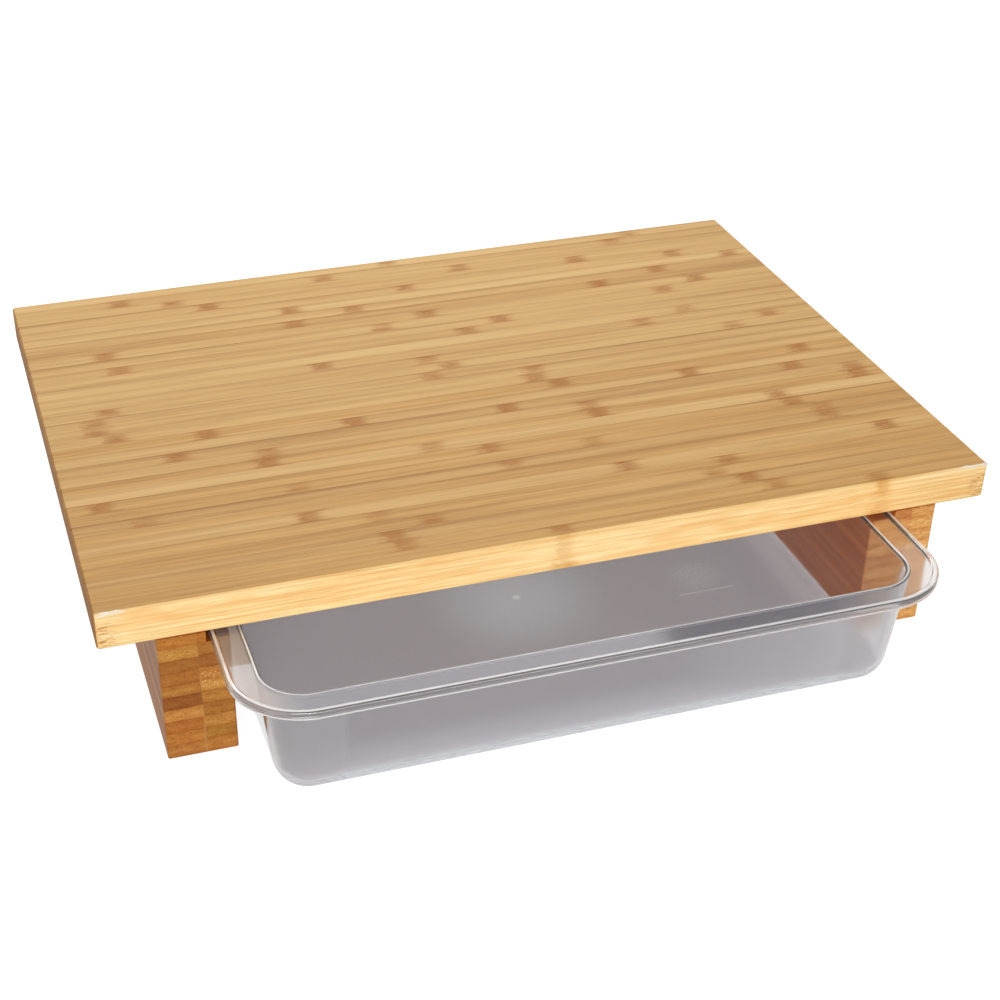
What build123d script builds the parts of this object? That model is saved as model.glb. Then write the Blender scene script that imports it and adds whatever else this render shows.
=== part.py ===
from build123d import *
import os

os.makedirs("parts", exist_ok=True)

# Bamboo cutting board on two legs, with one clear catering tray that hangs by its rim in
# the legs' rebates and slides out to the front.
# The origin is on the table, in the middle of the footprint with the tray drawn out as
# modelled. +X is to the right, +Y to the back, +Z up. Millimetres.

# ---- Driving dimensions ----

# Tray: a half-size gastronorm pan in polycarbonate
rim_width = 325.0            # left to right, over the lip
rim_depth = 265.0            # front to back, over the lip
rim_corner_radius = 33.0     # outside of the lip, seen from above
tray_height = 61.1           # from the underside of the base to the top of the rim bead
flange_width = 12.0          # from the outside of the wall to the outside of the lip
flange_thickness = 2.0
lip_height = 4.2             # from the foot of the lip to the top of the bead
lip_thickness = 2.2
bead_height = 0.9            # how far the bead stands above the flange
bead_width = 3.2
wall_thickness = 2.6
base_thickness = 2.8
wall_draft = 6.3             # degrees from upright
base_radius = 18.0           # outside, where the walls turn into the base
bead_radius = 0.8            # inner edge of the bead
mouth_radius = 1.4           # inner edge of the flange
neck_radius = 2.0            # outside, where the wall turns into the flange
lip_radius = 0.9             # outer edges of the lip, top and foot
panel_margin = 25.0          # from the wall's foot line to the edge of the raised base panel
panel_rise = 0.6             # how far the base panel is set up
panel_radius = 12.0
gate_radius = 2.2            # witness of the moulding gate, under the middle of the base
gate_height = 0.4
tray_pull = 66.5             # how far the tray stands out of the board's front

# Board
board_width = 420.0          # left to right, along the strips
board_depth = 308.0          # front to back
board_thickness = 18.0
board_strip_width = 8.8      # thickness of one bamboo strip, seen on top
board_corner_radius = 1.6    # upright corners
board_edge_chamfer = 0.8     # eased edges, top and bottom

# Legs: two columns of flat strips each, with a rebate for the tray's rim
leg_width = 31.6
ledge_width = 10.4           # depth of the rebate into the leg
leg_strip_thickness = 6.5
left_outer_column = 17.2     # width of the left leg's outer column of strips
right_outer_column = 12.4    # width of the right leg's outer column of strips
column_stagger = 0.5         # how much lower the outer column's glue lines lie
leg_edge_chamfer = 0.6
glue_line = 0.05             # between neighbouring strips

# Fits between the tray and the legs
table_clearance = 3.2        # under the tray's base
head_clearance = 0.7         # between the rim bead and the board
rail_gap = 0.3               # between the lip's foot and the ledge
side_clearance = 1.6         # between the lip and the rebate's wall

# Dowels between the legs and the board
dowel_diameter = 8.0
dowel_length = 30.0
dowel_in_board = 10.0        # length of a dowel that sits in the board
dowel_gap = 0.1              # round a dowel in its hole
dowel_end_gap = 0.8          # past each end of a dowel
dowel_from_outside = 10.0    # from the leg's outer face to the dowel's middle
dowel_from_end = 32.0        # from the leg's front or back end to the nearest dowel
dowels_per_leg = 3

# ---- Sizes that follow ----

leg_height = table_clearance + tray_height + head_clearance
rim_foot = table_clearance + tray_height - lip_height
ledge_height = rim_foot - rail_gap
rebate_wall_x = rim_width / 2 + side_clearance
leg_inner_x = rebate_wall_x - ledge_width
leg_outer_x = leg_inner_x + leg_width

board_bottom = leg_height
board_centre_y = tray_pull / 2
board_front_y = board_centre_y - board_depth / 2
tray_front_y = board_front_y - tray_pull
tray_centre_y = tray_front_y + rim_depth / 2

dowel_x = leg_outer_x - dowel_from_outside
dowel_bottom = board_bottom + dowel_in_board - dowel_length
dowel_first_y = board_front_y + dowel_from_end
dowel_pitch = (board_depth - 2 * dowel_from_end) / (dowels_per_leg - 1)
dowel_rows = [dowel_first_y + row * dowel_pitch for row in range(dowels_per_leg)]
dowel_hole_radius = dowel_diameter / 2 + dowel_gap


def write_piece(piece, name):
    """Label a finished piece and write its STEP file."""
    piece.label = name
    export_step(piece, f"parts/{name}.step")


# ---- Board: full-length strips stood on edge and glued side by side ----

with BuildPart() as board_blank:
    with BuildSketch(Plane.XY.offset(board_bottom)):
        with Locations((0, board_centre_y)):
            RectangleRounded(board_width, board_depth, board_corner_radius)
    extrude(amount=board_thickness)
    flat_faces = board_blank.faces().filter_by(Axis.Z)
    chamfer(flat_faces.edges(), board_edge_chamfer)
    with BuildSketch(Plane.XY.offset(board_bottom)):
        with Locations(*[(side * dowel_x, y) for side in (-1, 1) for y in dowel_rows]):
            Circle(dowel_hole_radius)
    extrude(amount=dowel_in_board + dowel_end_gap, mode=Mode.SUBTRACT)

board_strip_count = round(board_depth / board_strip_width)
board_strip_pitch = board_depth / board_strip_count

for number in range(1, board_strip_count + 1):
    strip_front = 0 if number == 1 else glue_line / 2
    strip_back = 0 if number == board_strip_count else glue_line / 2
    strip_size = board_strip_pitch - strip_front - strip_back
    strip_y = board_front_y + (number - 1) * board_strip_pitch + strip_front + strip_size / 2
    with BuildPart() as board_strip:
        add(board_blank.part)
        with BuildSketch(Plane.XY.offset(board_bottom)):
            with Locations((0, strip_y)):
                Rectangle(board_width, strip_size)
        extrude(amount=board_thickness, mode=Mode.INTERSECT)
    write_piece(board_strip.part, f"board_strip_{number:02d}")


# ---- Legs: two glued columns of flat strips, the inner one rebated for the tray's rim ----

def strip_levels(lowering):
    """Heights of a column's glue lines, counted down from the ledge, with both ends."""
    levels = [leg_height]
    level = ledge_height - lowering
    while level > leg_strip_thickness:
        levels.append(level)
        level -= leg_strip_thickness
    return levels + [0]


def column_strips(blank, near_x, far_x, levels):
    """Saw a leg's blank into the strips of one column, given where the column lies."""
    strips = []
    for top, bottom in zip(levels, levels[1:]):
        strip_top = top - (0 if top == levels[0] else glue_line / 2)
        strip_bottom = bottom + (0 if bottom == levels[-1] else glue_line / 2)
        with BuildPart() as leg_strip:
            add(blank)
            with BuildSketch(Plane.XY.offset(strip_bottom)):
                with Locations(((near_x + far_x) / 2, board_centre_y)):
                    Rectangle(abs(far_x - near_x), board_depth)
            extrude(amount=strip_top - strip_bottom, mode=Mode.INTERSECT)
        strips.append(leg_strip.part)
    return strips


outer_columns = (-1, "left", left_outer_column), (1, "right", right_outer_column)

for side, side_name, outer_column in outer_columns:
    leg_front = Plane(origin=(0, board_front_y, 0), x_dir=(1, 0, 0), z_dir=(0, -1, 0))
    with BuildPart() as leg_blank:
        with BuildSketch(leg_front):
            with Locations((side * (leg_inner_x + leg_width / 2), leg_height / 2)):
                Rectangle(leg_width, leg_height)
        extrude(amount=-board_depth)
        foot_edges = leg_blank.faces().sort_by(Axis.Z)[0].edges()
        corner_edges = leg_blank.edges().filter_by(Axis.Z)
        chamfer(foot_edges + corner_edges, leg_edge_chamfer)
        with BuildSketch(leg_front):
            with Locations((side * (leg_inner_x + ledge_width / 2), (ledge_height + leg_height) / 2)):
                Rectangle(ledge_width, leg_height - ledge_height)
        extrude(amount=-board_depth, mode=Mode.SUBTRACT)
        with BuildSketch(Plane.XY.offset(leg_height)):
            with Locations(*[(side * dowel_x, y) for y in dowel_rows]):
                Circle(dowel_hole_radius)
        extrude(amount=dowel_bottom - dowel_end_gap - leg_height, mode=Mode.SUBTRACT)

    seam_x = leg_outer_x - outer_column
    outer_strips = column_strips(
        leg_blank.part,
        side * (seam_x + glue_line / 2),
        side * leg_outer_x,
        strip_levels(column_stagger),
    )
    inner_strips = column_strips(
        leg_blank.part,
        side * leg_inner_x,
        side * (seam_x - glue_line / 2),
        strip_levels(0),
    )
    write_piece(Compound(children=outer_strips), f"{side_name}_leg_outer_strips")
    write_piece(Compound(children=inner_strips), f"{side_name}_leg_inner_strips")


# ---- Dowels ----

for side, side_name in ((-1, "left"), (1, "right")):
    for number, dowel_y in enumerate(dowel_rows, start=1):
        with BuildPart() as dowel:
            with BuildSketch(Plane.XY.offset(dowel_bottom)):
                with Locations((side * dowel_x, dowel_y)):
                    Circle(dowel_diameter / 2)
            extrude(amount=dowel_length)
        write_piece(dowel.part, f"{side_name}_leg_dowel_{number}")


# ---- Tray: one moulded shell with drafted walls, a rolled-over rim and a set-up base ----

rim_top = rim_foot + lip_height
flange_top = rim_top - bead_height
flange_underside = flange_top - flange_thickness
mouth_width = rim_width - 2 * flange_width       # over the outside of the walls
mouth_depth = rim_depth - 2 * flange_width
mouth_corner_radius = rim_corner_radius - flange_width


def level_plane(height):
    """A horizontal plane over the middle of the tray."""
    return Plane.XY.offset(height).move(Location((0, tray_centre_y, 0)))


def ring_face(part, height):
    """The level face of the rim at one height."""
    level_faces = part.faces().filter_by(Axis.Z)
    return level_faces.filter_by_position(Axis.Z, height - 0.01, height + 0.01)[0]


with BuildPart() as cavity:
    with BuildSketch(level_plane(flange_top)):
        RectangleRounded(
            mouth_width - 2 * wall_thickness,
            mouth_depth - 2 * wall_thickness,
            mouth_corner_radius - wall_thickness,
        )
    extrude(amount=-(flange_top - table_clearance - base_thickness), taper=wall_draft)
    fillet(cavity.faces().sort_by(Axis.Z)[0].edges(), base_radius - wall_thickness)

with BuildPart() as tray:
    with BuildSketch(level_plane(flange_underside)):
        RectangleRounded(mouth_width, mouth_depth, mouth_corner_radius)
    extrude(amount=-(flange_underside - table_clearance), taper=wall_draft)
    base = tray.faces().sort_by(Axis.Z)[0]
    base_width = base.bounding_box().size.X
    base_depth = base.bounding_box().size.Y
    fillet(base.edges(), base_radius)

    # Flange, the lip turned down round it, and the bead on top
    with BuildSketch(level_plane(flange_underside)):
        RectangleRounded(rim_width, rim_depth, rim_corner_radius)
    extrude(amount=flange_thickness)
    with BuildSketch(level_plane(rim_foot)):
        RectangleRounded(rim_width, rim_depth, rim_corner_radius)
        offset(amount=-lip_thickness, mode=Mode.SUBTRACT)
    extrude(amount=flange_top - rim_foot)
    with BuildSketch(level_plane(flange_top)):
        RectangleRounded(rim_width, rim_depth, rim_corner_radius)
        offset(amount=-bead_width, mode=Mode.SUBTRACT)
    extrude(amount=bead_height)

    add(cavity.part, mode=Mode.SUBTRACT)

    # Base panel, set up inside and under, so that the pan stands on the rim of its base
    panel_width = base_width - 2 * panel_margin
    panel_depth = base_depth - 2 * panel_margin
    with BuildSketch(level_plane(table_clearance + base_thickness)):
        RectangleRounded(panel_width, panel_depth, panel_radius)
    extrude(amount=panel_rise)
    with BuildSketch(level_plane(table_clearance)):
        RectangleRounded(panel_width, panel_depth, panel_radius)
    extrude(amount=panel_rise, mode=Mode.SUBTRACT)
    with BuildSketch(level_plane(table_clearance + panel_rise)):
        Circle(gate_radius)
    extrude(amount=-gate_height)

    # Rounded edges of the rim
    bead_top = ring_face(tray.part, rim_top)
    fillet(bead_top.outer_wire().edges(), lip_radius)
    bead_top = ring_face(tray.part, rim_top)
    fillet(bead_top.inner_wires()[0].edges(), bead_radius)
    lip_foot = ring_face(tray.part, rim_foot)
    fillet(lip_foot.outer_wire().edges(), lip_radius)
    flange_face = ring_face(tray.part, flange_top)
    fillet(flange_face.inner_wires()[0].edges(), mouth_radius)
    under_face = ring_face(tray.part, flange_underside)
    fillet(under_face.inner_wires()[0].edges(), neck_radius)
write_piece(tray.part, "tray")
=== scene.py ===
import math

import bmesh
import bpy
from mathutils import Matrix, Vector


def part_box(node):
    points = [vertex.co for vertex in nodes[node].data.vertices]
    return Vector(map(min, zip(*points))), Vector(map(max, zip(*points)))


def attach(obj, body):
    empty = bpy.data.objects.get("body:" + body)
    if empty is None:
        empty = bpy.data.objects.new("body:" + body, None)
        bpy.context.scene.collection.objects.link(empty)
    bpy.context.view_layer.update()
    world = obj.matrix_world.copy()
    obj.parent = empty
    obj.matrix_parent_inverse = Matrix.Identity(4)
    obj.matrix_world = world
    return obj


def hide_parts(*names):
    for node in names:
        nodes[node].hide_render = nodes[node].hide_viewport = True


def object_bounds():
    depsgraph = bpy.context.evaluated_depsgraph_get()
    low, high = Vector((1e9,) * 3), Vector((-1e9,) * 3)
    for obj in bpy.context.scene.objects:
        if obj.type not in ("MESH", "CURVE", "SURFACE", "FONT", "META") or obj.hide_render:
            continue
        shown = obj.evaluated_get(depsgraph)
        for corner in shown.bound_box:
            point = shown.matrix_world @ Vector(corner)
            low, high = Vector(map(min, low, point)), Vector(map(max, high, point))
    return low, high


# Bamboo cutting board on two legs, with a clear catering tray that slides out like a drawer.
# Metres, +Z up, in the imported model's own frame: the board's front looks along -Y.

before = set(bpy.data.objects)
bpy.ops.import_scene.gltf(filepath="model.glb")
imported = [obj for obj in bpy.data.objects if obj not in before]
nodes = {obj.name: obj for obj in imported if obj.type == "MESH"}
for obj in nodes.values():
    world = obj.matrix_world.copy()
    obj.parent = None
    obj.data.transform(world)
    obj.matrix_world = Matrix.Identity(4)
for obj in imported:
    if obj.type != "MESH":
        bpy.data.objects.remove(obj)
cad_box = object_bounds()

MM = 0.001


def linear(code):
    """An sRGB hex colour as linear red, green, blue and alpha."""
    shares = [int(code[i:i + 2], 16) / 255 for i in (1, 3, 5)]
    return [s / 12.92 if s <= 0.04045 else ((s + 0.055) / 1.055) ** 2.4 for s in shares] + [1.0]


def add(tree, kind, inputs=None, stops=None, **settings):
    """Add a node with its settings, its ramp's stops, its values and what is plugged into it."""
    made = tree.nodes.new(kind)
    for name, value in settings.items():
        setattr(made, name, value)
    if stops:
        ramp = made.color_ramp
        for element, (place, code) in zip(ramp.elements, (stops[0], stops[-1])):
            element.position = place
            element.color = linear(code)
        for place, code in stops[1:-1]:
            ramp.elements.new(place).color = linear(code)
    for socket, value in (inputs or {}).items():
        if isinstance(value, bpy.types.Node):
            value = next(output for output in value.outputs if output.enabled)
        if isinstance(value, bpy.types.NodeSocket):
            tree.links.new(value, made.inputs[socket])
        elif isinstance(value, str):
            made.inputs[socket].default_value = linear(value)
        else:
            made.inputs[socket].default_value = value
    return made


def new_material(name):
    """An empty node material and its tree."""
    material = bpy.data.materials.new(name)
    material.use_nodes = True
    material.node_tree.nodes.clear()
    return material, material.node_tree


def dress(piece, material):
    """Give a piece this one material."""
    piece.data.materials.clear()
    piece.data.materials.append(material)


# ---- What the frame says ----

board_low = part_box("board_strip_01")[0]
board_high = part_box("board_strip_35")[1]
strip_count = 35
strip_pitch = (board_high.y - board_low.y) / strip_count
leg_height = board_low.z

# ---- Bamboo ----

# Fibre bundles of bamboo are about 0.4 mm thick and 1 mm apart. They run the whole strip, so
# sanded bamboo shows long fine streaks, in bands where they lie closer.
BUNDLE_SPACING = 1.1 * MM
FIBRE_WIDTH = 0.45 * MM
FIBRE_LENGTH = 28 * MM
LAYERED = 2.5                # how much wider marks lie in flat strips, which show their layers
STREAK = {                   # length, width and height of each kind of mark, and its detail
    "fibres": (FIBRE_LENGTH, FIBRE_WIDTH, FIBRE_WIDTH, 4.0),
    "bands": (130 * MM, 1.5 * MM, 1.5 * MM, 2.0),
    "drift": (190 * MM, 5 * MM, 25 * MM, 1.0),
    "frayed": (4 * MM, 0.6 * MM, 0.6 * MM, 3.0),
    "patches": (38 * MM, 7 * MM, 7 * MM, 1.0),
    "bundles": (90 * MM, BUNDLE_SPACING, BUNDLE_SPACING, 0.0),
}
FIBRE_RELIEF = 0.06 * MM


def grain(tree, along, shift):
    """Bamboo's marks, stretched along the fibres: fibres, bands, slow drift, frayed ends,
    patches, and the bundles, which are dots on a cut end and dashes along a side."""
    place = add(tree, "ShaderNodeTexCoord").outputs["Object"]
    wood = {"axes": add(tree, "ShaderNodeSeparateXYZ", {0: place})}
    for mark, (length, side, height, detail) in STREAK.items():
        if along == "Y" and mark != "bundles":
            side = LAYERED * side
        size = (length, side, height) if along == "X" else (side, length, height)
        stretched = add(tree, "ShaderNodeMapping", {
            "Vector": place,
            "Location": (shift, shift * 0.7, shift * 0.4),
            "Scale": [1 / s for s in size],
        })
        if mark == "bundles":
            wood[mark] = add(tree, "ShaderNodeTexVoronoi", {"Vector": stretched, "Scale": 1.0})
        else:
            wood[mark] = add(tree, "ShaderNodeTexNoise", {
                "Vector": stretched, "Scale": 1.0, "Detail": detail, "Roughness": 0.65})
    wood["bundle"] = add(tree, "ShaderNodeMapRange", {
        "Value": wood["bundles"], "From Min": 0.34, "From Max": 0.12})
    return wood


def weigh(tree, wood, shares, base):
    """Add up some of the wood's marks, each with its share."""
    total = base
    for mark, share in shares.items():
        total = add(tree, "ShaderNodeMath", {
            0: wood[mark], 1: share, 2: total}, operation="MULTIPLY_ADD")
    return total


def blend(tree, share, colour, other, way="MIX"):
    """One colour laid over another by a share."""
    return add(tree, "ShaderNodeMix", {
        0: share, 6: colour, 7: other}, data_type="RGBA", blend_type=way)


def finish_bamboo(tree, colour, wood, end_grain):
    """Sanded bamboo under a thin oil: satin along the fibres, duller where they are cut across."""
    roughness = add(tree, "ShaderNodeMapRange", {
        "Value": wood["fibres"], "From Min": 0.3, "From Max": 0.7, "To Min": 0.46, "To Max": 0.6})
    duller = add(tree, "ShaderNodeMath", {
        0: end_grain, 1: 0.2, 2: roughness}, operation="MULTIPLY_ADD")
    bump = add(tree, "ShaderNodeBump", {
        "Height": wood["fibres"], "Strength": 0.35, "Distance": FIBRE_RELIEF})
    shader = add(tree, "ShaderNodeBsdfPrincipled", {
        "Base Color": colour, "Roughness": duller, "Normal": bump, "IOR": 1.5,
        "Specular IOR Level": 0.3})
    add(tree, "ShaderNodeOutputMaterial", {"Surface": shader})


def end_face(tree, along):
    """1 where a face looks along an axis, 0 where it lies along it."""
    normal = add(tree, "ShaderNodeSeparateXYZ", {
        0: add(tree, "ShaderNodeTexCoord").outputs["Normal"]}).outputs[along]
    turned = add(tree, "ShaderNodeMath", {0: normal}, operation="ABSOLUTE")
    return add(tree, "ShaderNodeMapRange", {"Value": turned, "From Min": 0.5, "From Max": 0.8})


# ---- Board ----

GRAIN_STEP = 1.37            # metres from one strip's place in the grain to the next

# Knots. Of each pair, the first is where a mark begins, and the second where it is complete
KNOT_BAND = (8.5 * MM, 1.5 * MM)         # along the strip, from the knot's middle
KNOT_LINES = (14 * MM, 3 * MM)
KNOT_WANDER = 13 * MM
KNOT_SPREAD = (0.75, 1.7)                # narrowing on the flat side, at its foot and its top
FAINT_KNOTS = (0.4, 0.9)                 # strength in its weakest and strongest places
DEEP_KNOTS = (0.8, 1.0)

# Wear of the front strip, in pairs of the same kind
CHECKS_FROM_END = (11 * MM, 3 * MM)
CHECKS_BELOW_TOP = (2 * MM, 7 * MM)
CHIP_LENGTH = (27 * MM, 22 * MM)         # from the board's end
CHIP_LENGTH_WANDER = 26 * MM
CHIP_DEPTH = (3.7 * MM, 3.3 * MM)        # back and down from the top front edge, added up
CHIP_DEPTH_WANDER = 5 * MM


def from_nearest_knot(tree, wood, knots):
    """How far a point lies from its strip's nearest knot, with frayed ends. On the flat side
    knots spread downwards."""
    wander = add(tree, "ShaderNodeMath", {0: wood["frayed"], 1: 0.5}, operation="SUBTRACT")
    frayed_x = add(tree, "ShaderNodeMath", {
        0: wander, 1: KNOT_WANDER, 2: wood["axes"].outputs["X"]}, operation="MULTIPLY_ADD")
    nearest = None
    for knot in knots:
        off = add(tree, "ShaderNodeMath", {
            0: frayed_x, 1: board_low.x + knot * MM}, operation="SUBTRACT")
        away = add(tree, "ShaderNodeMath", {0: off}, operation="ABSOLUTE")
        nearest = away if nearest is None else add(
            tree, "ShaderNodeMath", {0: nearest, 1: away}, operation="MINIMUM")
    spread = add(tree, "ShaderNodeMapRange", {
        "Value": wood["axes"].outputs["Z"], "From Min": board_low.z, "From Max": board_high.z,
        "To Min": KNOT_SPREAD[0], "To Max": KNOT_SPREAD[1]})
    spread = add(tree, "ShaderNodeMix", {
        0: wood["flat_side"], 2: 1.0, 3: spread}, data_type="FLOAT")
    return add(tree, "ShaderNodeMath", {0: nearest, 1: spread}, operation="MULTIPLY")


def add_knots(tree, colour, wood, knots, strength):
    """Paint a strip's knots over its colour: a frayed, mottled brown band, and longer dark
    lines where it meets the strip's sides. On the flat side a knot is orange."""
    nearest = from_nearest_knot(tree, wood, knots)
    band = add(tree, "ShaderNodeMapRange", {
        "Value": nearest, "From Min": KNOT_BAND[0], "From Max": KNOT_BAND[1]},
        interpolation_type="SMOOTHSTEP")
    mottled = add(tree, "ShaderNodeMapRange", {
        "Value": wood["frayed"], "From Min": 0.35, "From Max": 0.65, "To Min": 0.45})
    patch = add(tree, "ShaderNodeMath", {0: band, 1: mottled}, operation="MULTIPLY")

    near = add(tree, "ShaderNodeMapRange", {
        "Value": nearest, "From Min": KNOT_LINES[0], "From Max": KNOT_LINES[1]},
        interpolation_type="SMOOTHSTEP")
    sides = add(tree, "ShaderNodeMapRange", {
        "Value": wood["off_middle"], "From Min": 0.36, "From Max": 0.48})
    lines = add(tree, "ShaderNodeMath", {0: near, 1: sides}, operation="MULTIPLY")
    lines = add(tree, "ShaderNodeMath", {0: lines, 1: wood["off_flat"]}, operation="MULTIPLY")
    share = add(tree, "ShaderNodeMath", {0: patch, 1: lines}, operation="MAXIMUM")

    # A knot is stronger in some places than in others
    depth = add(tree, "ShaderNodeMapRange", {
        "Value": wood["patches"], "From Min": 0.4, "From Max": 0.6,
        "To Min": strength[0], "To Max": strength[1]})
    share = add(tree, "ShaderNodeMath", {0: share, 1: depth}, operation="MULTIPLY")
    knot_colour = blend(tree, wood["flat_side"], "#A05E04", "#CE8C3A")
    return blend(tree, share, colour, knot_colour)


def stain_front(tree, colour, wood):
    """Orange stains that run along the front strip's flat side."""
    stained = add(tree, "ShaderNodeMapRange", {
        "Value": wood["patches"], "From Min": 0.52, "From Max": 0.66, "To Max": 0.6})
    streaky = add(tree, "ShaderNodeMapRange", {
        "Value": wood["fibres"], "From Min": 0.42, "From Max": 0.6, "To Min": 0.1})
    stain = add(tree, "ShaderNodeMath", {0: stained, 1: streaky}, operation="MULTIPLY")
    stain = add(tree, "ShaderNodeMath", {0: stain, 1: wood["flat_side"]}, operation="MULTIPLY")
    return blend(tree, stain, colour, "#E8A44C")


def check_ends(tree, colour, wood, from_end):
    """Short dark drying checks in the flat side, next to its ends."""
    near_end = add(tree, "ShaderNodeMapRange", {
        "Value": from_end, "From Min": CHECKS_FROM_END[0], "From Max": CHECKS_FROM_END[1]})
    low = add(tree, "ShaderNodeMapRange", {
        "Value": wood["axes"].outputs["Z"], "From Min": board_high.z - CHECKS_BELOW_TOP[0],
        "From Max": board_high.z - CHECKS_BELOW_TOP[1]})
    cracks = add(tree, "ShaderNodeMapRange", {
        "Value": wood["frayed"], "From Min": 0.5, "From Max": 0.57})
    check = add(tree, "ShaderNodeMath", {0: near_end, 1: cracks}, operation="MULTIPLY")
    for share in (low, wood["flat_side"], 0.75):
        check = add(tree, "ShaderNodeMath", {0: check, 1: share}, operation="MULTIPLY")
    return blend(tree, check, colour, "#A8682C")


def chip_corners(tree, colour, wood, from_end):
    """The top front corners, chipped down to pale dry fibres. A chip's edge wanders by a few
    millimetres."""
    axes = wood["axes"]
    ragged = add(tree, "ShaderNodeMath", {
        0: wood["frayed"], 1: CHIP_LENGTH_WANDER, 2: from_end}, operation="MULTIPLY_ADD")
    at_corner = add(tree, "ShaderNodeMapRange", {
        "Value": ragged, "From Min": CHIP_LENGTH[0], "From Max": CHIP_LENGTH[1]})
    back = add(tree, "ShaderNodeMath", {
        0: axes.outputs["Y"], 1: board_low.y}, operation="SUBTRACT")
    down = add(tree, "ShaderNodeMath", {
        0: board_high.z, 1: axes.outputs["Z"]}, operation="SUBTRACT")
    off_edge = add(tree, "ShaderNodeMath", {0: back, 1: down}, operation="ADD")
    torn = add(tree, "ShaderNodeMath", {
        0: wood["frayed"], 1: CHIP_DEPTH_WANDER, 2: off_edge}, operation="MULTIPLY_ADD")
    at_edge = add(tree, "ShaderNodeMapRange", {
        "Value": torn, "From Min": CHIP_DEPTH[0], "From Max": CHIP_DEPTH[1]})
    chip = add(tree, "ShaderNodeMath", {0: at_corner, 1: at_edge}, operation="MULTIPLY")
    return blend(tree, chip, colour, "#E6DECC")


def age_front(tree, colour, wood):
    """What only the front strip shows: stains, checks at its ends and chipped corners."""
    from_middle = add(tree, "ShaderNodeMath", {
        0: wood["axes"].outputs["X"]}, operation="ABSOLUTE")
    from_end = add(tree, "ShaderNodeMath", {
        0: board_high.x, 1: from_middle}, operation="SUBTRACT")
    colour = stain_front(tree, colour, wood)
    colour = check_ends(tree, colour, wood, from_end)
    return chip_corners(tree, colour, wood, from_end)


def strip_colour(tree, wood, tones):
    """Long streaks in the strip's three tones. The flat side is paler and yellower."""
    pale, body, dark = tones
    tone = weigh(tree, wood, {"fibres": 1.05, "bands": 0.45, "drift": 0.8, "bundle": -0.08}, -0.64)
    edge_colour = add(tree, "ShaderNodeValToRGB", {"Fac": tone}, stops=[
        (0.2, dark), (0.5, body), (0.8, pale)])
    flat_tone = weigh(tree, wood, {"fibres": 1.3, "bands": 0.6, "drift": 0.6}, -0.75)
    flat_colour = add(tree, "ShaderNodeValToRGB", {"Fac": flat_tone}, stops=[
        (0.2, "#E6B066"), (0.5, "#F5D090"), (0.8, "#FDE8B6")])
    return blend(tree, wood["flat_side"], edge_colour, flat_colour)


def add_seam(tree, colour, wood, over, seam_depth):
    """A strip's soft darker skin side, and the thin dark line of glue at it, which come and go
    along the strip."""
    skin = add(tree, "ShaderNodeMapRange", {
        "Value": over, "From Min": 0.5, "To Max": 0.32}, interpolation_type="SMOOTHSTEP")
    joint = add(tree, "ShaderNodeMapRange", {
        "Value": over, "From Min": 0.89, "From Max": 0.95, "To Max": seam_depth})
    darker = add(tree, "ShaderNodeMath", {0: skin, 1: joint}, operation="MAXIMUM")
    comes_and_goes = add(tree, "ShaderNodeMapRange", {
        "Value": wood["drift"], "From Min": 0.38, "From Max": 0.62, "To Min": 1.0, "To Max": 0.35})
    share = add(tree, "ShaderNodeMath", {0: darker, 1: comes_and_goes}, operation="MULTIPLY")
    share = add(tree, "ShaderNodeMath", {0: share, 1: wood["off_flat"]}, operation="MULTIPLY")
    return blend(tree, share, colour, "#986A32")


def cut_across(tree, colour, wood, end_grain):
    """The sawn ends: greyer, with the bundles as dark specks."""
    colour = blend(tree, end_grain, colour, "#C9B49C", "MULTIPLY")
    specks = add(tree, "ShaderNodeMath", {
        0: wood["bundle"], 1: end_grain}, operation="MULTIPLY")
    specks = add(tree, "ShaderNodeMath", {0: specks, 1: 0.45}, operation="MULTIPLY")
    return blend(tree, specks, colour, "#7C4F26")


def board_bamboo(number, tones, knots, knot_strength, seam_depth):
    """One strip stood on edge, with its knots. Only the front and the back strip show their
    flat side."""
    material, tree = new_material(f"bamboo_sanded_oiled_strip_{number:02d}")
    wood = grain(tree, "X", number * GRAIN_STEP)
    end_grain = end_face(tree, "X")
    wood["flat_side"] = end_face(tree, "Y")
    wood["off_flat"] = add(tree, "ShaderNodeMath", {
        0: 1.0, 1: wood["flat_side"]}, operation="SUBTRACT")

    # How far over the strip, from 0 at its front side to 1 at its back side
    front = board_low.y + (number - 1) * strip_pitch
    over = add(tree, "ShaderNodeMapRange", {
        "Value": wood["axes"].outputs["Y"], "From Min": front, "From Max": front + strip_pitch})
    from_middle = add(tree, "ShaderNodeMath", {0: over, 1: 0.5}, operation="SUBTRACT")
    wood["off_middle"] = add(tree, "ShaderNodeMath", {0: from_middle}, operation="ABSOLUTE")

    colour = add_seam(tree, strip_colour(tree, wood, tones), wood, over, seam_depth)
    if knots:
        colour = add_knots(tree, colour, wood, knots, knot_strength)
    if number == 1:
        colour = age_front(tree, colour, wood)
    finish_bamboo(tree, cut_across(tree, colour, wood, end_grain), wood, end_grain)
    return material


# Where each strip's knots lie, in millimetres from the board's left end, front strip first.
# A culm's joints are about 165 mm apart, so most strips show two or three.
strip_knots = [
    (208, 365), (139, 317), (136, 307), (156, 294), (134, 305), (104, 257, 392), (),
    (33, 206, 371), (105, 250, 372), (16, 201, 360), (175, 356), (97, 263, 406), (99, 262, 407),
    (57, 222, 377), (146, 323), (75, 256, 390), (32, 246), (24, 249), (24, 196), (32, 209, 368),
    (199, 393), (145, 323), (352,), (229,), (45, 251), (187, 350), (40, 215, 374), (143, 319),
    (178, 357), (145, 406), (213, 375), (103, 318), (85, 250), (57, 172, 347), (212, 360),
]

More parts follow.
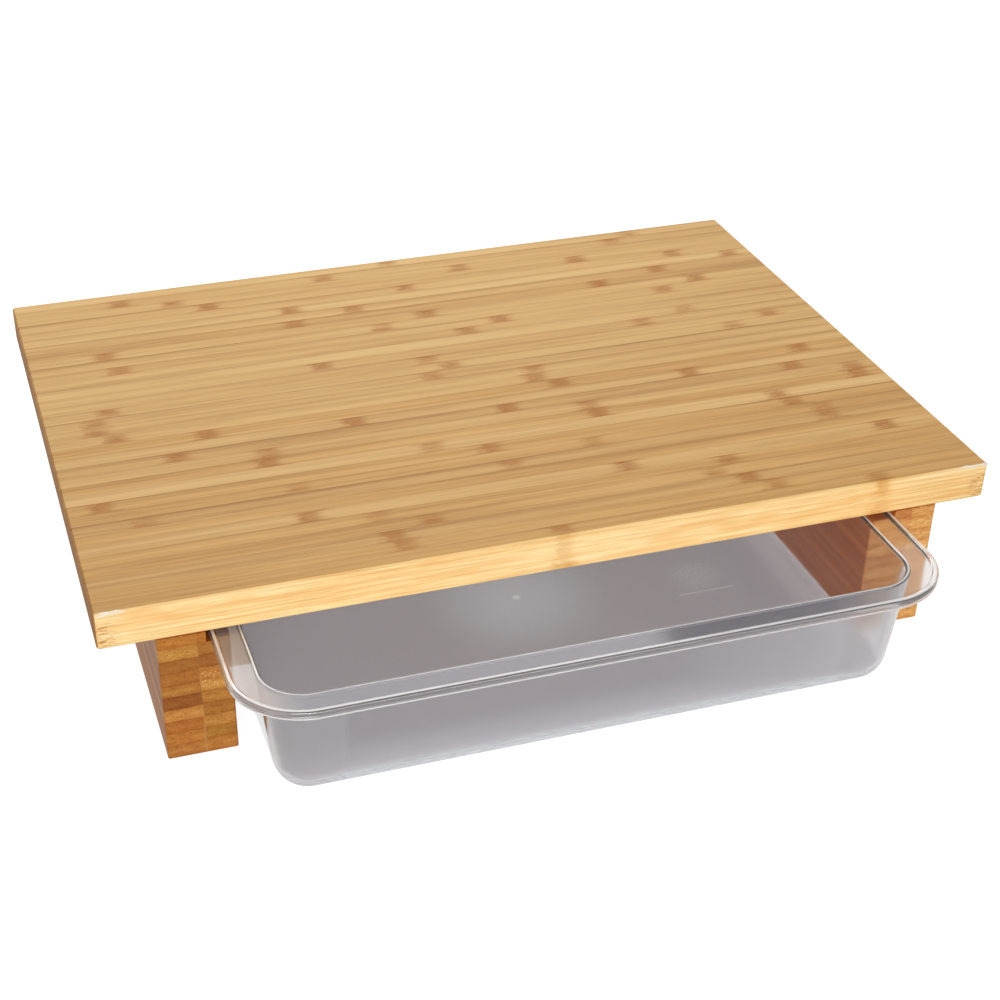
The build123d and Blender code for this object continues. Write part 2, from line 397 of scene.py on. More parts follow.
# The knots of these strips are darker than the rest.
deep_knots = (3, 6, 10, 12, 14, 15, 16, 25, 27, 28, 29, 32)

# Sorted tones of the strips: p pale, h honey, t tan, a amber. Front strip first.
# Painted shade: amber, set mostly on the front strips, darkens the front against the paler back
strip_tones = "aataahataapahthahhhhhhphhhhthphhhhp"
tone_colours = {
    "p": ("#E4BE80", "#DAB072", "#C89C5E"),
    "h": ("#DDB475", "#D2A668", "#BE9052"),
    "t": ("#D5A96A", "#C89A5B", "#AF8148"),
    # amber: painted shade tone for the front strips
    "a": ("#D9AD6B", "#CB9C59", "#B48446"),
}

# The glue line behind these strips is deeper than the rest.
DEEP_SEAM = 1.0
FAINT_SEAM = 0.45
deep_seams = (8, 10, 14, 19, 23, 26, 32)

for number in range(1, strip_count + 1):
    bamboo = board_bamboo(
        number, tone_colours[strip_tones[number - 1]], strip_knots[number - 1],
        DEEP_KNOTS if number in deep_knots else FAINT_KNOTS,
        DEEP_SEAM if number in deep_seams else FAINT_SEAM)
    dress(nodes[f"board_strip_{number:02d}"], bamboo)


# ---- Legs ----

LEG_GRAIN_STEP = 31          # how far apart the columns lie in the grain, times their seam's X
LEG_STRIP = 6.5 * MM
LEG_WAVE = 2.0 * MM          # how strongly uneven pressing makes the strips' joints wave
INNER_SEAM = 7.8 * MM        # top of an inner column's lowest strip
OUTER_SEAM = 7.3 * MM
SPOTTED = (34 * MM, 47 * MM)     # heights between which a column shows pale dots
SPOTTED_FADE = 2 * MM
GLUE_LINE = (0.45 * MM, 0.2 * MM)    # from the seam: where it begins, and where it is complete
OUTER_SIDE = "#F8F4F0"
INNER_SIDE_LIT = "#FFC462"       # painted light: the faces next to the tray are made brighter and warmer


def leg_strips(tree, waved_z, first_seam, tones):
    """A tone for each strip of a column, from the foot up, darker towards its skin side."""
    height = add(tree, "ShaderNodeMapRange", {"Value": waved_z, "From Max": leg_height})
    seams = [(first_seam + LEG_STRIP * step) / leg_height for step in range(len(tones) - 1)]
    strips = add(tree, "ShaderNodeValToRGB", {"Fac": height}, stops=list(zip([0] + seams, tones)))
    strips.color_ramp.interpolation = "CONSTANT"
    above_seam = add(tree, "ShaderNodeMath", {0: waved_z, 1: first_seam}, operation="SUBTRACT")
    in_strips = add(tree, "ShaderNodeMath", {0: above_seam, 1: LEG_STRIP}, operation="DIVIDE")
    in_strip = add(tree, "ShaderNodeMath", {0: in_strips, 1: 1.0}, operation="FLOORED_MODULO")
    skin = add(tree, "ShaderNodeValToRGB", {"Fac": in_strip}, stops=[
        (0.0, "#D8B68E"), (0.08, "#F4E6D2"), (0.45, "#FFFFFF"), (1.0, "#EEDCC4")])
    return blend(tree, 0.85, strips, skin, "MULTIPLY")


def add_pale_dots(tree, colour, wood, waved_z, end_grain, spotted):
    """Bundles that show as pale dots on the sawn end, between two heights."""
    bottom, top = spotted
    from_low = add(tree, "ShaderNodeMapRange", {
        "Value": waved_z, "From Min": bottom, "From Max": bottom + SPOTTED_FADE})
    to_high = add(tree, "ShaderNodeMapRange", {
        "Value": waved_z, "From Min": top, "From Max": top - SPOTTED_FADE})
    in_range = add(tree, "ShaderNodeMath", {0: from_low, 1: to_high}, operation="MULTIPLY")
    dots = wood["bundle"]
    for share in (in_range, end_grain, 0.7):
        dots = add(tree, "ShaderNodeMath", {0: dots, 1: share}, operation="MULTIPLY")
    return blend(tree, dots, colour, "#F2CF96")


def add_glue_line(tree, colour, wood, seam_x):
    """A pale line of glue between the two columns, in places."""
    off = add(tree, "ShaderNodeMath", {
        0: wood["axes"].outputs["X"], 1: seam_x}, operation="SUBTRACT")
    away = add(tree, "ShaderNodeMath", {0: off}, operation="ABSOLUTE")
    line = add(tree, "ShaderNodeMapRange", {
        "Value": away, "From Min": GLUE_LINE[0], "From Max": GLUE_LINE[1]})
    squeezed = add(tree, "ShaderNodeMapRange", {
        "Value": wood["patches"], "From Min": 0.4, "From Max": 0.6, "To Max": 0.22})
    glue = add(tree, "ShaderNodeMath", {0: line, 1: squeezed}, operation="MULTIPLY")
    return blend(tree, glue, colour, "#DDB37C")


def leg_bamboo(name, first_seam, seam_x, tones, side_tint_and_light, spotted):
    """A column of flat strips. The fibres are fine streaks along its sides and fine layers on its
    sawn end. A side colour tints the sides, and on the inner columns it is painted light."""
    material, tree = new_material(name)
    wood = grain(tree, "Y", seam_x * LEG_GRAIN_STEP)
    end_grain = end_face(tree, "Y")
    wave = add(tree, "ShaderNodeMath", {0: wood["patches"], 1: 0.5}, operation="SUBTRACT")
    waved_z = add(tree, "ShaderNodeMath", {
        0: wave, 1: LEG_WAVE, 2: wood["axes"].outputs["Z"]}, operation="MULTIPLY_ADD")
    colour = leg_strips(tree, waved_z, first_seam, tones)

    tone = weigh(tree, wood, {"fibres": 1.0, "bands": 0.7, "bundle": -0.25}, -0.25)
    shade = add(tree, "ShaderNodeValToRGB", {"Fac": tone}, stops=[
        (0.30, "#C8A684"), (0.6, "#EEDFCC"), (0.85, "#FFFFFF")])
    colour = blend(tree, 1.0, colour, shade, "MULTIPLY")
    along = add(tree, "ShaderNodeMath", {0: 1.0, 1: end_grain}, operation="SUBTRACT")
    colour = blend(tree, along, colour, side_tint_and_light, "MULTIPLY")

    if spotted:
        colour = add_pale_dots(tree, colour, wood, waved_z, end_grain, spotted)
    colour = add_glue_line(tree, colour, wood, seam_x)
    finish_bamboo(tree, colour, wood, end_grain)
    return material


left_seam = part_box("left_leg_outer_strips")[1].x
right_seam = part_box("right_leg_outer_strips")[0].x
leg_columns = {
    "left_leg_outer_strips": (OUTER_SEAM, left_seam, OUTER_SIDE, (), (
        "#BE8644", "#C0863E", "#B67834", "#CA944C", "#985F24",
        "#B8823C", "#B07632", "#A87232", "#C8984C", "#BE8236")),
    "left_leg_inner_strips": (INNER_SEAM, left_seam, INNER_SIDE_LIT, SPOTTED, (
        "#C08842", "#B08034", "#C29048", "#AC7832", "#B8843C",
        "#C8984E", "#BC863E", "#A26C2E", "#B07C34", "#BA7A30")),
    "right_leg_outer_strips": (OUTER_SEAM, right_seam, OUTER_SIDE, (), (
        "#F0C07C", "#E8B470", "#F4C684", "#E8B672", "#F0C07E",
        "#E4B06C", "#F4C888", "#EABA78", "#F0C07C", "#E8B470")),
    "right_leg_inner_strips": (INNER_SEAM, right_seam, INNER_SIDE_LIT, (), (
        "#E6AE70", "#DCA464", "#EAB678", "#DEA668", "#E8B474",
        "#DAA062", "#ECB878", "#E0A86A", "#E6B070", "#D09458")),
}
for node, (first_seam, seam_x, side_tint_and_light, spotted, tones) in leg_columns.items():
    dress(nodes[node], leg_bamboo(
        f"bamboo_sawn_{node}", first_seam, seam_x, tones, side_tint_and_light, spotted))


# ---- Beech dowels, hidden in the legs ----

PORE = (0.5 * MM, 0.5 * MM, 12 * MM)     # a dowel's grain runs up it
RAY_FLECK = (0.6 * MM, 0.6 * MM, 2.5 * MM)
PORE_RELIEF = 0.05 * MM


def beech():
    """Turned beech: pinkish straw, close grain, with the short dark flecks of its rays."""
    material, tree = new_material("beech_turned_dowel")
    place = add(tree, "ShaderNodeTexCoord").outputs["Object"]
    long_grain, rays = (add(tree, "ShaderNodeMapping", {
        "Vector": place, "Scale": [1 / s for s in size]}) for size in (PORE, RAY_FLECK))
    pores = add(tree, "ShaderNodeTexNoise", {
        "Vector": long_grain, "Scale": 1.0, "Detail": 3.0, "Roughness": 0.6})
    flecks = add(tree, "ShaderNodeTexVoronoi", {"Vector": rays, "Scale": 1.0})
    fleck = add(tree, "ShaderNodeMapRange", {
        "Value": flecks, "From Min": 0.22, "From Max": 0.12, "To Max": 0.5})
    straw = add(tree, "ShaderNodeValToRGB", {"Fac": pores}, stops=[
        (0.3, "#C79C70"), (0.7, "#E0BD92")])
    colour = blend(tree, fleck, straw, "#9A6A44")
    bump = add(tree, "ShaderNodeBump", {"Height": pores, "Strength": 0.3, "Distance": PORE_RELIEF})
    shader = add(tree, "ShaderNodeBsdfPrincipled", {
        "Base Color": colour, "Roughness": 0.6, "Normal": bump})
    add(tree, "ShaderNodeOutputMaterial", {"Surface": shader})
    return material


dowel_beech = beech()
for side in ("left", "right"):
    for number in (1, 2, 3):
        dress(nodes[f"{side}_leg_dowel_{number}"], dowel_beech)


# ---- Tray ----

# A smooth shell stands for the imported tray, because clear plastic shows every facet of a
# rounded rim. It is modelled as its upper side, which is then given its thickness.
tray_low, tray_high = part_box("tray")
tray_middle = (tray_low + tray_high) / 2
RIM_RADIUS = 33 * MM
FLANGE_WIDTH = 12 * MM       # outside of the wall to the outside of the lip
WALL = 2.4 * MM
LIP_HEIGHT = 4.2 * MM
BEAD_HEIGHT = 0.9 * MM
BEAD_WIDTH = 3.2 * MM
DRAFT = math.radians(6.3)
BASE_BLEND = 11.5 * MM       # inside, from the wall's foot line to where the base is flat
PANEL_MARGIN = 10 * MM       # from there to the edge of the raised base panel
PANEL_SLOPE = 1.2 * MM
PANEL_RISE = 0.6 * MM
# Each step of the domed bead: inwards, and up
BEAD_STEPS = ((0.25 * MM, 0.45 * MM), (0.45 * MM, 0.3 * MM), (0.5 * MM, 0.15 * MM))
MOUTH_ROUND = 1.3 * MM       # also the neck's
LIP_ROUND = 0.5 * MM
AT_HEIGHT = 0.05 * MM        # how near a corner counts as at a height, and at a distance
AT_DISTANCE = 0.1 * MM
flange_z = tray_high.z - BEAD_HEIGHT
lip_foot_z = tray_high.z - LIP_HEIGHT
base_z = tray_low.z + WALL


def pick(part, wanted):
    """In edit mode, select only the verts, edges or faces that pass a test."""
    bpy.ops.mesh.select_mode(type={"verts": "VERT", "edges": "EDGE", "faces": "FACE"}[part])
    bpy.ops.mesh.select_all(action="DESELECT")
    shape = bmesh.from_edit_mesh(bpy.context.edit_object.data)
    for item in getattr(shape, part):
        if wanted(item):
            item.select_set(True)
    bmesh.update_edit_mesh(bpy.context.edit_object.data)


def level(item, height):
    """True if all corners of an edge or a face lie at one height."""
    return all(abs(corner.co.z - height) < AT_HEIGHT for corner in item.verts)


def from_rim(point):
    """How far inside the rim's outline a point lies, seen from above."""
    along = abs(point.x - tray_middle.x) - (tray_high.x - tray_low.x) / 2 + RIM_RADIUS
    across = abs(point.y - tray_middle.y) - (tray_high.y - tray_low.y) / 2 + RIM_RADIUS
    return RIM_RADIUS - math.hypot(max(along, 0), max(across, 0)) - min(max(along, across), 0)


def inset_by(item, distance):
    """True if all corners lie one distance inside the rim's outline."""
    return all(abs(from_rim(corner.co) - distance) < AT_DISTANCE for corner in item.verts)


def shrink_face(margin, rise=0.0):
    """Extrude the picked base face and draw it in by a margin all round."""
    corners = [v.co for v in bmesh.from_edit_mesh(bpy.context.edit_object.data).verts if v.select]
    wide = max(c.x for c in corners) - min(c.x for c in corners)
    deep = max(c.y for c in corners) - min(c.y for c in corners)
    bpy.ops.mesh.extrude_region_move(TRANSFORM_OT_translate={"value": (0, 0, rise)})
    bpy.ops.transform.resize(
        value=(1 - 2 * margin / wide, 1 - 2 * margin / deep, 1), center_override=tray_middle)


def spread_rim_and_walls():
    """Draw the rounded outline, the bead's strip, the flange, the drafted walls and the base."""
    bpy.ops.object.mode_set(mode="EDIT")
    bpy.ops.mesh.select_all(action="SELECT")
    bpy.ops.mesh.bevel(offset=RIM_RADIUS, segments=20, affect="VERTICES")
    pick("faces", lambda face: True)
    bpy.ops.mesh.inset(thickness=BEAD_WIDTH, use_even_offset=True)
    bpy.ops.mesh.inset(thickness=FLANGE_WIDTH + WALL - BEAD_WIDTH, use_even_offset=True)

    # Walls down to the base, with draft, and the round where they meet it
    depth = flange_z - base_z
    bpy.ops.mesh.inset(thickness=depth * math.tan(DRAFT), depth=-depth, use_even_offset=True)
    pick("edges", lambda edge: level(edge, base_z))
    bpy.ops.mesh.bevel(offset=BASE_BLEND, segments=10, affect="EDGES")
    pick("verts", lambda corner: abs(corner.co.z - base_z) < 0.01 * MM)
    bpy.ops.mesh.remove_doubles(threshold=0.2 * MM)
    pick("faces", lambda face: level(face, base_z))
    shrink_face(PANEL_MARGIN)
    shrink_face(PANEL_SLOPE, PANEL_RISE)


def turn_lip_and_thicken(shell):
    """Turn the lip down round the rim, and give the shell its thickness."""
    pick("edges", lambda edge: edge.is_boundary)
    bpy.ops.mesh.extrude_edges_move(TRANSFORM_OT_translate={"value": (0, 0, lip_foot_z - flange_z)})
    bpy.ops.object.mode_set(mode="OBJECT")
    wall = shell.modifiers.new("wall", "SOLIDIFY")
    wall.thickness = WALL
    wall.offset = -1
    wall.use_even_offset = True
    bpy.ops.object.modifier_apply(modifier=wall.name)


def dome_bead_and_round_edges():
    """Raise the bead in its steps, and round the mouth, the neck and the lip's foot."""
    bpy.ops.object.mode_set(mode="EDIT")
    pick("faces", lambda face: level(face, flange_z) and face.normal.z > 0.9
         and all(from_rim(corner.co) < BEAD_WIDTH + AT_DISTANCE for corner in face.verts))
    for narrower, higher in BEAD_STEPS:
        bpy.ops.mesh.inset(thickness=narrower, depth=higher, use_even_offset=True)

    pick("edges", lambda edge: (level(edge, flange_z) and inset_by(edge, FLANGE_WIDTH + WALL))
         or (level(edge, flange_z - WALL) and inset_by(edge, FLANGE_WIDTH)))
    bpy.ops.mesh.bevel(offset=MOUTH_ROUND, segments=5, affect="EDGES")
    pick("edges", lambda edge: level(edge, lip_foot_z)
         and (inset_by(edge, 0) or inset_by(edge, WALL)))
    bpy.ops.mesh.bevel(offset=LIP_ROUND, segments=3, affect="EDGES")
    bpy.ops.object.mode_set(mode="OBJECT")


def tray_shell():
    """The pan: rim, flange, drafted walls, and a base with a panel set up in it."""
    bpy.ops.object.select_all(action="DESELECT")
    bpy.ops.mesh.primitive_plane_add(size=1, location=(tray_middle.x, tray_middle.y, flange_z))
    shell = bpy.context.object
    shell.name = "tray_shell"
    shell.scale = (tray_high.x - tray_low.x, tray_high.y - tray_low.y, 1)
    bpy.ops.object.transform_apply(location=True, rotation=True, scale=True)
    spread_rim_and_walls()
    turn_lip_and_thicken(shell)
    dome_bead_and_round_edges()

    bpy.ops.object.shade_smooth_by_angle(angle=math.radians(42))
    even = shell.modifiers.new("even_shading", "WEIGHTED_NORMAL")
    even.keep_sharp = True
    bpy.ops.object.modifier_apply(modifier=even.name)
    return shell


# Roughness that the mould's faces leave
CLEAR = 0.06                 # polished: the rim and the end walls
HAZE = 0.20                  # lightly sparked: the front and back walls
FROST = 0.30                 # sparked: the base

# Where each finish begins, and where it is complete
FROST_HEIGHT = (9 * MM, 5 * MM)          # over the base
HAZE_HEIGHT = (0.5 * MM, -1 * MM)        # from the lip's foot
LONG_WALLS = (97 * MM, 108 * MM)         # front and back, from the tray's middle
HAZE_CORNERS = (117 * MM, 115 * MM)      # beyond them the haze is lighter
FLANGE_ONLY = (2.6 * MM, 3.6 * MM)       # inside the rim's outline
# Painted shade on the flange: its left arm, and a grey stretch up to its right corner
SHADED_LEFT_ARM = (-135 * MM, -148 * MM)        # along X, like the next one
SHADED_FLANGE = (150 * MM, 100 * MM)
# Painted light on the frosted plastic: a glow round the gate, and paler walls low down and at the
# right end
GATE_GLOW = (55 * MM, 6 * MM)           # from the gate's middle
LIT_FOOT = (34 * MM, 10 * MM)           # heights over the table
LIT_RIGHT_END = (30 * MM, 140 * MM)         # along X

PATCH = (92 * MM, -62.5 * MM)            # middle of the moulded patch on the base
PATCH_SIZE = 29 * MM
PATCH_EDGE = 0.35 * MM                   # half the width of its raised front edge
GATE_DOT = (2.4 * MM, 1.6 * MM)          # its soft edge, from its middle
MARK_RELIEF = 0.05 * MM
STIPPLE_GRAIN = 0.9 * MM
SPARK_GRAIN = 0.5 * MM
FLOW_SIZE = 60 * MM

# Painted highlight lines along the rim: distance inside the rim's outline, and half the width
CREST_HIGHLIGHT = (1.4 * MM, 0.6 * MM)
MOUTH_HIGHLIGHT = (FLANGE_WIDTH + WALL - 1.1 * MM, 0.45 * MM)
HIGHLIGHT_DEPTH = 1.6 * MM                   # they end this far below the flange's top


def rim_distance(tree, across, along):
    """How far inside the rim's outline a point lies, seen from above."""
    half = Vector((tray_high.x - tray_low.x, tray_high.y - tray_low.y, 0)) / 2
    beyond = add(tree, "ShaderNodeVectorMath", {
        0: add(tree, "ShaderNodeCombineXYZ", {0: across, 1: along}),
        1: half - Vector((RIM_RADIUS, RIM_RADIUS, 0))}, operation="SUBTRACT")
    past_corner = add(tree, "ShaderNodeVectorMath", {
        0: beyond, 1: (0, 0, 0)}, operation="MAXIMUM")
    outwards = add(tree, "ShaderNodeVectorMath", {
        0: past_corner}, operation="LENGTH").outputs["Value"]
    return add(tree, "ShaderNodeMath", {0: RIM_RADIUS, 1: outwards}, operation="SUBTRACT")


def mould_zones(tree):
    """Where a point lies on the tray, and shares from 0 to 1 for the parts that look different.
    The mould was sparked for the base, and lightly for the front and back between the corners."""
    place = add(tree, "ShaderNodeTexCoord").outputs["Object"]
    axes = add(tree, "ShaderNodeSeparateXYZ", {0: place})
    x, z = axes.outputs["X"], axes.outputs["Z"]
    across = add(tree, "ShaderNodeMath", {0: x}, operation="ABSOLUTE")
    from_centre = add(tree, "ShaderNodeMath", {
        0: axes.outputs["Y"], 1: tray_middle.y}, operation="SUBTRACT")
    along = add(tree, "ShaderNodeMath", {0: from_centre}, operation="ABSOLUTE")

    low = add(tree, "ShaderNodeMapRange", {
        "Value": z, "From Min": base_z + FROST_HEIGHT[0], "From Max": base_z + FROST_HEIGHT[1]})
    below_rim = add(tree, "ShaderNodeMapRange", {
        "Value": z, "From Min": lip_foot_z + HAZE_HEIGHT[0],
        "From Max": lip_foot_z + HAZE_HEIGHT[1]})
    between = add(tree, "ShaderNodeMapRange", {
        "Value": across, "From Min": HAZE_CORNERS[0], "From Max": HAZE_CORNERS[1],
        "To Min": 0.65})
    at_long_wall = add(tree, "ShaderNodeMapRange", {
        "Value": along, "From Min": LONG_WALLS[0], "From Max": LONG_WALLS[1]})
    hazy = add(tree, "ShaderNodeMath", {0: between, 1: at_long_wall}, operation="MULTIPLY")
    hazy = add(tree, "ShaderNodeMath", {0: hazy, 1: below_rim}, operation="MULTIPLY")

    inside = rim_distance(tree, across, along)
    on_flange = add(tree, "ShaderNodeMapRange", {
        "Value": inside, "From Min": FLANGE_ONLY[0], "From Max": FLANGE_ONLY[1]})
    shaded_left_arm = add(tree, "ShaderNodeMapRange", {
        "Value": x, "From Min": SHADED_LEFT_ARM[0], "From Max": SHADED_LEFT_ARM[1]})
    return {
        "place": place, "x": x, "z": z, "low": low, "below_rim": below_rim,
        "at_long_wall": at_long_wall, "hazy": hazy, "inside": inside, "on_flange": on_flange,
        "frosted": add(tree, "ShaderNodeMath", {0: low, 1: hazy}, operation="MAXIMUM"),
        "shaded_left_arm": add(tree, "ShaderNodeMath", {
            0: shaded_left_arm, 1: on_flange}, operation="MULTIPLY"),
        "from_gate": add(tree, "ShaderNodeVectorMath", {
            0: place, 1: (tray_middle.x, tray_middle.y, base_z)},
            operation="DISTANCE").outputs["Value"],
    }


def polished_colour(tree, zones):
    """Glass clear plastic, with painted shade: the flange is greyer over the hazy walls, up to its
    right corner, and greyer and warmer still on its left arm."""
    left_of_corner = add(tree, "ShaderNodeMapRange", {
        "Value": zones["x"], "From Min": SHADED_FLANGE[0], "From Max": SHADED_FLANGE[1]})
    greyer = add(tree, "ShaderNodeMath", {
        0: zones["on_flange"], 1: left_of_corner}, operation="MULTIPLY")
    greyer = add(tree, "ShaderNodeMath", {
        0: greyer, 1: zones["at_long_wall"]}, operation="MULTIPLY")
    rim = blend(tree, greyer, "#E4E0DE", "#8C8890")
    rim = blend(tree, zones["shaded_left_arm"], rim, "#B8ACA6")
    return blend(tree, zones["below_rim"], rim, "#E2E2E3")


def frost_colour(tree, zones):
    """Finely speckled grey, with painted light: paler low on the walls, towards their right end,
    and round the gate."""
    painted_glow_round_gate = add(tree, "ShaderNodeMapRange", {
        "Value": zones["from_gate"], "From Min": GATE_GLOW[0], "From Max": GATE_GLOW[1],
        "To Max": 0.45}, interpolation_type="SMOOTHSTEP")
    painted_light_low_wall = add(tree, "ShaderNodeMapRange", {
        "Value": zones["z"], "From Min": LIT_FOOT[0], "From Max": LIT_FOOT[1], "To Max": 0.75})
    painted_light_right_end = add(tree, "ShaderNodeMapRange", {
        "Value": zones["x"], "From Min": LIT_RIGHT_END[0], "From Max": LIT_RIGHT_END[1],
        "To Max": 0.7})
    painted_light_on_wall = add(tree, "ShaderNodeMath", {0: painted_light_low_wall, 1: painted_light_right_end}, operation="MAXIMUM")
    painted_light_on_wall = add(tree, "ShaderNodeMath", {0: painted_light_on_wall, 1: zones["hazy"]}, operation="MULTIPLY")
    paler = add(tree, "ShaderNodeMath", {0: painted_glow_round_gate, 1: painted_light_on_wall}, operation="MAXIMUM")
    frost = blend(tree, paler, "#B9B4B8", "#E2E6E9")
    spark = add(tree, "ShaderNodeTexNoise", {
        "Vector": zones["place"], "Scale": 1 / SPARK_GRAIN, "Detail": 2.0, "Roughness": 0.6})
    speckled = add(tree, "ShaderNodeMapRange", {
        "Value": spark, "From Min": 0.4, "From Max": 0.6, "To Max": 0.12})
    return blend(tree, speckled, frost, "#8E898D")


def base_marks(tree, zones):
    """Moulded marks on the base: the gate's stub, and a stippled patch with a raised front
    edge."""
    gate = add(tree, "ShaderNodeMapRange", {
        "Value": zones["from_gate"], "From Min": GATE_DOT[0], "From Max": GATE_DOT[1]})
    from_patch = add(tree, "ShaderNodeVectorMath", {
        0: zones["place"], 1: (PATCH[0], PATCH[1], 0)}, operation="SUBTRACT")
    patch = add(tree, "ShaderNodeSeparateXYZ", {0: from_patch})
    flat = add(tree, "ShaderNodeCombineXYZ", {0: patch.outputs["X"], 1: patch.outputs["Y"]})
    off_patch = add(tree, "ShaderNodeVectorMath", {0: flat}, operation="LENGTH").outputs["Value"]
    in_patch = add(tree, "ShaderNodeMapRange", {
        "Value": off_patch, "From Min": PATCH_SIZE / 2, "From Max": PATCH_SIZE / 4})
    stipple = add(tree, "ShaderNodeTexNoise", {
        "Vector": zones["place"], "Scale": 1 / STIPPLE_GRAIN, "Detail": 2.0, "Roughness": 0.7})
    stippled = add(tree, "ShaderNodeMapRange", {
        "Value": stipple, "From Min": 0.45, "From Max": 0.65, "To Max": 0.55})
    stippled = add(tree, "ShaderNodeMath", {0: stippled, 1: in_patch}, operation="MULTIPLY")
    off_front = add(tree, "ShaderNodeMath", {
        0: patch.outputs["Y"], 1: -PATCH_SIZE / 2, 2: PATCH_EDGE}, operation="COMPARE")
    in_width = add(tree, "ShaderNodeMath", {
        0: patch.outputs["X"], 1: 0, 2: PATCH_SIZE / 2}, operation="COMPARE")
    front_edge = add(tree, "ShaderNodeMath", {0: off_front, 1: in_width}, operation="MULTIPLY")
    marks = add(tree, "ShaderNodeMath", {0: stippled, 1: front_edge}, operation="MAXIMUM")
    marks = add(tree, "ShaderNodeMath", {0: marks, 1: gate}, operation="MAXIMUM")
    return add(tree, "ShaderNodeMath", {0: marks, 1: zones["low"]}, operation="MULTIPLY")


def painted_rim_highlights(tree, zones):
    """Painted highlights: white lines along the crest of the rim and the edge of the mouth, down to
    a little below the flange's top."""
    crest = add(tree, "ShaderNodeMath", {
        0: zones["inside"], 1: CREST_HIGHLIGHT[0], 2: CREST_HIGHLIGHT[1]}, operation="COMPARE")
    mouth = add(tree, "ShaderNodeMath", {
        0: zones["inside"], 1: MOUTH_HIGHLIGHT[0], 2: MOUTH_HIGHLIGHT[1]}, operation="COMPARE")
    highlit = add(tree, "ShaderNodeMath", {0: crest, 1: mouth}, operation="MAXIMUM")
    upper = add(tree, "ShaderNodeMath", {
        0: zones["z"], 1: flange_z - HIGHLIGHT_DEPTH}, operation="GREATER_THAN")
    return add(tree, "ShaderNodeMath", {0: highlit, 1: upper}, operation="MULTIPLY")


def mould_roughness(tree, zones):
    """Roughness of each finish, slightly uneven where the plastic flowed."""
    flow = add(tree, "ShaderNodeTexNoise", {
        "Vector": zones["place"], "Scale": 1 / FLOW_SIZE, "Detail": 1.0, "Roughness": 0.5})
    wall = add(tree, "ShaderNodeMapRange", {
        "Value": zones["hazy"], "To Min": CLEAR, "To Max": HAZE})
    roughness = add(tree, "ShaderNodeMapRange", {
        "Value": zones["low"], "To Min": wall, "To Max": FROST})
    return add(tree, "ShaderNodeMath", {0: flow, 1: 0.04, 2: roughness}, operation="MULTIPLY_ADD")


def see_through(tree, zones, painted_highlights):
    """How much light passes: nearly all where the mould was polished, less where it was sparked,
    less still on the left arm, which holds painted shade, and least on the painted highlight lines."""
    rim = add(tree, "ShaderNodeMapRange", {
        "Value": zones["shaded_left_arm"], "To Min": 0.98, "To Max": 0.70})
    clean = add(tree, "ShaderNodeMapRange", {
        "Value": zones["below_rim"], "To Min": rim, "To Max": 0.99})
    clear = add(tree, "ShaderNodeMapRange", {
        "Value": zones["frosted"], "To Min": clean, "To Max": 0.80})
    return add(tree, "ShaderNodeMath", {0: painted_highlights, 1: -0.55, 2: clear}, operation="MULTIPLY_ADD")


def polycarbonate():
    """Injection-moulded clear polycarbonate. Rim and end walls come from polished steel and
    are glass clear. The base comes from a sparked face and is frosted grey, and the front and
    back walls are hazy between their corners."""
    material, tree = new_material("polycarbonate_moulded_clear_frosted")
    zones = mould_zones(tree)
    marks = base_marks(tree, zones)
    painted_highlights = painted_rim_highlights(tree, zones)
    polished = polished_colour(tree, zones)
    colour = blend(tree, zones["frosted"], polished, frost_colour(tree, zones))
    colour = blend(tree, marks, colour, "#F2F1F4")
    # Painted highlights: the white lines along the rim
    colour = blend(tree, painted_highlights, colour, "#F8F8FA")
    bump = add(tree, "ShaderNodeBump", {"Height": marks, "Strength": 0.8, "Distance": MARK_RELIEF})
    shader = add(tree, "ShaderNodeBsdfPrincipled", {
        "Base Color": colour, "Roughness": mould_roughness(tree, zones),
        "Transmission Weight": see_through(tree, zones, painted_highlights), "IOR": 1.58, "Normal": bump})

    # Lamps reach what lies under and behind the plastic
    path = add(tree, "ShaderNodeLightPath")
    through = add(tree, "ShaderNodeBsdfTransparent", {"Color": "#F2F2F2"})
    seen = add(tree, "ShaderNodeMixShader", {
        0: path.outputs["Is Shadow Ray"], 1: shader, 2: through})
    add(tree, "ShaderNodeOutputMaterial", {"Surface": seen})
    return material


tray_plastic = polycarbonate()
dress(nodes["tray"], tray_plastic)
shell = tray_shell()
dress(shell, tray_plastic)
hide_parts("tray")
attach(shell, "tray")


# ---- Floor, light and camera ----

FLOOR_SIZE = 4
FLOOR_GAP = 0.3 * MM         # below the legs' feet
FLOOR_LIFT = 0.88


def shown_share(tree):
    """1 for the rays that see the backdrop: camera, gloss and glass."""
    path = add(tree, "ShaderNodeLightPath")
    first = add(tree, "ShaderNodeMath", {
        0: path.outputs["Is Camera Ray"], 1: path.outputs["Is Glossy Ray"]}, operation="MAXIMUM")
    return add(tree, "ShaderNodeMath", {
        0: first, 1: path.outputs["Is Transmission Ray"]}, operation="MAXIMUM")


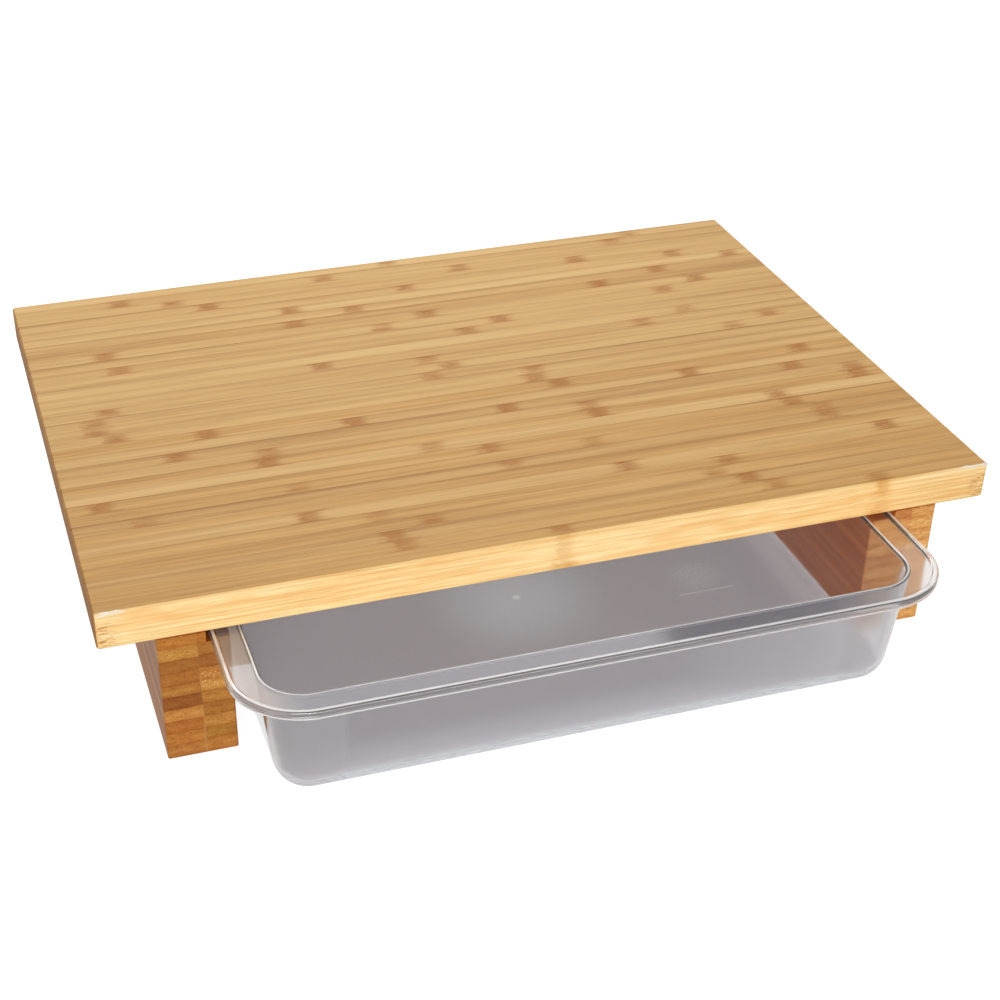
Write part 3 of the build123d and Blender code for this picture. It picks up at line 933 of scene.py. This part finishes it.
def floor_paint():
    """Matt pale floor. The camera, gloss and glass see it lifted to white, with the shadow kept."""
    material, tree = new_material("floor_matt_pale_paint")
    matt = add(tree, "ShaderNodeBsdfDiffuse", {"Color": "#A8A8A8"})
    lift = add(tree, "ShaderNodeEmission", {"Color": "#FFFFFF", "Strength": FLOOR_LIFT})
    none = add(tree, "ShaderNodeEmission", {"Color": "#000000", "Strength": 0.0})
    lifted = add(tree, "ShaderNodeMixShader", {0: shown_share(tree), 1: none, 2: lift})
    both = add(tree, "ShaderNodeAddShader", {0: matt, 1: lifted})
    add(tree, "ShaderNodeOutputMaterial", {"Surface": both})
    return material


bpy.ops.object.select_all(action="DESELECT")
bpy.ops.mesh.primitive_plane_add(size=FLOOR_SIZE, location=(0, 0, -FLOOR_GAP))
floor = bpy.context.object
floor.name = "floor"
dress(floor, floor_paint())

scene = bpy.context.scene
world = bpy.data.worlds.new("studio")
scene.world = world
world.use_nodes = True
sky = world.node_tree
sky.nodes.clear()
ambient = add(sky, "ShaderNodeBackground", {"Color": "#FAF8F5", "Strength": 0.30})
white = add(sky, "ShaderNodeBackground", {"Color": "#FFFFFF", "Strength": 1.0})
backdrop = add(sky, "ShaderNodeMixShader", {0: shown_share(sky), 1: ambient, 2: white})
add(sky, "ShaderNodeOutputWorld", {"Surface": backdrop})

object_middle = (cad_box[0] + cad_box[1]) / 2


def softbox(name, place, size, watts):
    """A square soft light that looks at the middle of the object."""
    lamp = bpy.data.lights.new(name, "AREA")
    lamp.size = size
    lamp.energy = watts
    light = bpy.data.objects.new(name, lamp)
    light.location = place
    light.rotation_euler = (Vector(place) - object_middle).to_track_quat("Z", "Y").to_euler()
    scene.collection.objects.link(light)


softbox("front_softbox", place=(-0.70, -2.30, 0.70), size=1.4, watts=50)
softbox("top_softbox", place=(0.0, 0.50, 1.10), size=1.1, watts=8.5)

# The photograph's camera, fitted to the outlines of board, legs and tray
CAMERA_DOWN = 33.915         # degrees below the level
CAMERA_TURN = -17.254        # degrees from looking straight at the front

lens = bpy.data.cameras.new("camera")
lens.lens = 64.66
lens.shift_x = 0.0596
lens.shift_y = 0.0811
camera = bpy.data.objects.new("camera", lens)
camera.location = (-0.2529, -0.7427, 0.5080)
camera.rotation_euler = (math.radians(90 - CAMERA_DOWN), 0, math.radians(CAMERA_TURN))
scene.collection.objects.link(camera)
scene.camera = camera
scene.view_settings.view_transform = "Standard"
